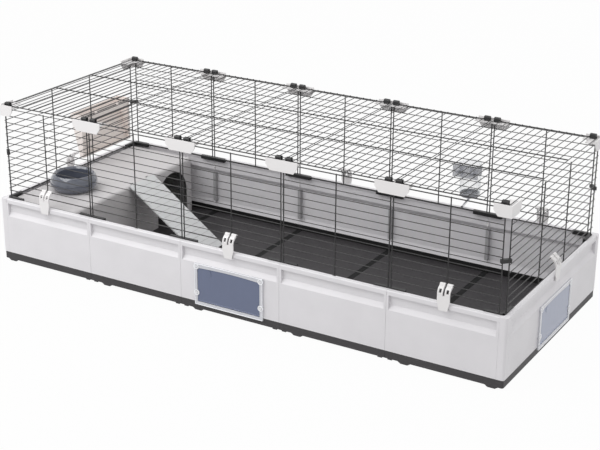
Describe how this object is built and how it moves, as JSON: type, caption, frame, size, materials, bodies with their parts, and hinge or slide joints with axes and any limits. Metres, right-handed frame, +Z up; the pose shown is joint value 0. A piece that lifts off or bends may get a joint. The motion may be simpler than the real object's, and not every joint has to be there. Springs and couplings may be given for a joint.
{
  "type": "small animal cage",
  "caption": "Long modular pen for a small animal: dark floor trays, white walls, black wire sides and hinged wire roof, with house, ramp, bowl, hay rack and drinking bottle.",
  "frame": {"origin": "on the ground under the middle of the pen's walls", "axes": "+X along the pen to its right end, +Y to the back, +Z up"},
  "size_m": [1.8181, 0.7935, 0.538],
  "materials": {
    "tray_plastic": "dark grey moulded, fine grain",
    "wall_plastic": "white moulded, satin",
    "wire": "black coated wire, semi-gloss",
    "clip_plastic": "white moulded, satin",
    "black_plastic": "black moulded",
    "door_frame_plastic": "clear frosted",
    "door_pane_plastic": "smoky blue, clear",
    "steel": "bright",
    "house_plastic": "light grey moulded",
    "ramp_plastic": "light grey moulded",
    "bowl_plastic": "blue grey, glossy",
    "rack_plastic": "beige moulded",
    "clear_plastic": "clear",
    "holder_plastic": "blue grey moulded"
  },
  "bodies": {
    "base": {"back_grille_1": "wire", "back_grille_2": "wire", "back_grille_3": "wire", "back_grille_4": "wire", "back_grille_5": "wire", "back_wall_1": "wall_plastic", "back_wall_2": "wall_plastic", "back_wall_3": "wall_plastic", "back_wall_4": "wall_plastic", "back_wall_5": "wall_plastic", "bottle_holder": "holder_plastic", "corner_clips": "black_plastic", "corner_posts": "wall_plastic", "door_screws": "steel", "floor_tray_1": "tray_plastic", "floor_tray_2": "tray_plastic", "floor_tray_3": "tray_plastic", "floor_tray_4": "tray_plastic", "floor_tray_5": "tray_plastic", "front_door_frame": "door_frame_plastic", "front_grille_1": "wire", "front_grille_2": "wire", "front_grille_3": "wire", "front_grille_4": "wire", "front_grille_5": "wire", "front_wall_1": "wall_plastic", "front_wall_2": "wall_plastic", "front_wall_3": "wall_plastic", "front_wall_4": "wall_plastic", "front_wall_5": "wall_plastic", "left_grille": "wire", "left_wall": "wall_plastic", "loft_house": "house_plastic", "right_door_frame": "door_frame_plastic", "right_grille": "wire", "right_wall": "wall_plastic", "rim_joiners": "black_plastic", "roof_snaps": "black_plastic", "top_connectors": "clip_plastic"},
    "bowl": {"bowl": "bowl_plastic"},
    "ramp": {"ramp": "ramp_plastic"},
    "hay_rack": {"hay_rack": "rack_plastic"},
    "bottle": {"bottle": "clear_plastic", "bottle_cap": "holder_plastic", "drinking_spout": "steel"},
    "front_door": {"front_door_flap": "door_pane_plastic"},
    "right_door": {"right_door_flap": "door_pane_plastic"},
    "roof_1": {"roof_grille_1": "wire"},
    "roof_2": {"roof_grille_2": "wire"},
    "roof_3": {"roof_grille_3": "wire"},
    "roof_4": {"roof_grille_4": "wire"},
    "roof_5": {"roof_grille_5": "wire"},
    "front_clip_1": {"front_clip_1": "clip_plastic"},
    "back_clip_1": {"back_clip_1": "clip_plastic"},
    "front_clip_3": {"front_clip_3": "clip_plastic"},
    "back_clip_3": {"back_clip_3": "clip_plastic"},
    "front_clip_5": {"front_clip_5": "clip_plastic"},
    "back_clip_5": {"back_clip_5": "clip_plastic"},
    "left_clip": {"left_clip": "clip_plastic"},
    "right_clip": {"right_clip": "clip_plastic"}
  },
  "joints": [
    {"name": "roof_hinge_1", "type": "hinge", "parent": "base", "child": "roof_1", "pos_m": [-0.7, 0.333, 0.526], "axis": [-1, 0, 0], "range_deg": [0, 105]},
    {"name": "roof_hinge_2", "type": "hinge", "parent": "base", "child": "roof_2", "pos_m": [-0.35, 0.333, 0.526], "axis": [-1, 0, 0], "range_deg": [0, 105]},
    {"name": "roof_hinge_3", "type": "hinge", "parent": "base", "child": "roof_3", "pos_m": [0, 0.333, 0.526], "axis": [-1, 0, 0], "range_deg": [0, 105]},
    {"name": "roof_hinge_4", "type": "hinge", "parent": "base", "child": "roof_4", "pos_m": [0.35, 0.333, 0.526], "axis": [-1, 0, 0], "range_deg": [0, 105]},
    {"name": "roof_hinge_5", "type": "hinge", "parent": "base", "child": "roof_5", "pos_m": [0.7, 0.333, 0.526], "axis": [-1, 0, 0], "range_deg": [0, 105]},
    {"name": "front_door_hinge", "type": "hinge", "parent": "base", "child": "front_door", "pos_m": [0, -0.3625, 0.036], "axis": [1, 0, 0], "range_deg": [0, 90]},
    {"name": "right_door_hinge", "type": "hinge", "parent": "base", "child": "right_door", "pos_m": [0.89, 0, 0.036], "axis": [0, 1, 0], "range_deg": [0, 90]},
    {"name": "front_clip_1_hinge", "type": "hinge", "parent": "base", "child": "front_clip_1", "pos_m": [-0.7, -0.3442, 0.266], "axis": [-1, 0, 0], "range_deg": [0, 75]},
    {"name": "back_clip_1_hinge", "type": "hinge", "parent": "base", "child": "back_clip_1", "pos_m": [-0.7, 0.3442, 0.266], "axis": [1, 0, 0], "range_deg": [0, 75]},
    {"name": "front_clip_3_hinge", "type": "hinge", "parent": "base", "child": "front_clip_3", "pos_m": [0, -0.3442, 0.266], "axis": [-1, 0, 0], "range_deg": [0, 75]},
    {"name": "back_clip_3_hinge", "type": "hinge", "parent": "base", "child": "back_clip_3", "pos_m": [0, 0.3442, 0.266], "axis": [1, 0, 0], "range_deg": [0, 75]},
    {"name": "front_clip_5_hinge", "type": "hinge", "parent": "base", "child": "front_clip_5", "pos_m": [0.7, -0.3442, 0.266], "axis": [-1, 0, 0], "range_deg": [0, 75]},
    {"name": "back_clip_5_hinge", "type": "hinge", "parent": "base", "child": "back_clip_5", "pos_m": [0.7, 0.3442, 0.266], "axis": [1, 0, 0], "range_deg": [0, 75]},
    {"name": "left_clip_hinge", "type": "hinge", "parent": "base", "child": "left_clip", "pos_m": [-0.8717, 0, 0.266], "axis": [0, 1, 0], "range_deg": [0, 75]},
    {"name": "right_clip_hinge", "type": "hinge", "parent": "base", "child": "right_clip", "pos_m": [0.8717, 0, 0.266], "axis": [0, -1, 0], "range_deg": [0, 75]},
    {"name": "ramp_hinge", "type": "hinge", "parent": "base", "child": "ramp", "pos_m": [-0.61313, 0.028, 0.20396], "axis": [0, -1, 0], "range_deg": [0, 45]},
    {"name": "bowl_lift", "type": "slide", "parent": "base", "child": "bowl", "axis": [0, 0, 1], "range_m": [0, 0.12]},
    {"name": "hay_rack_unhook", "type": "slide", "parent": "base", "child": "hay_rack", "axis": [0, 0, 1], "range_m": [0, 0.012]},
    {"name": "bottle_pull", "type": "slide", "parent": "base", "child": "bottle", "axis": [0, 1, 0], "range_m": [0, 0.1]}
  ]
}
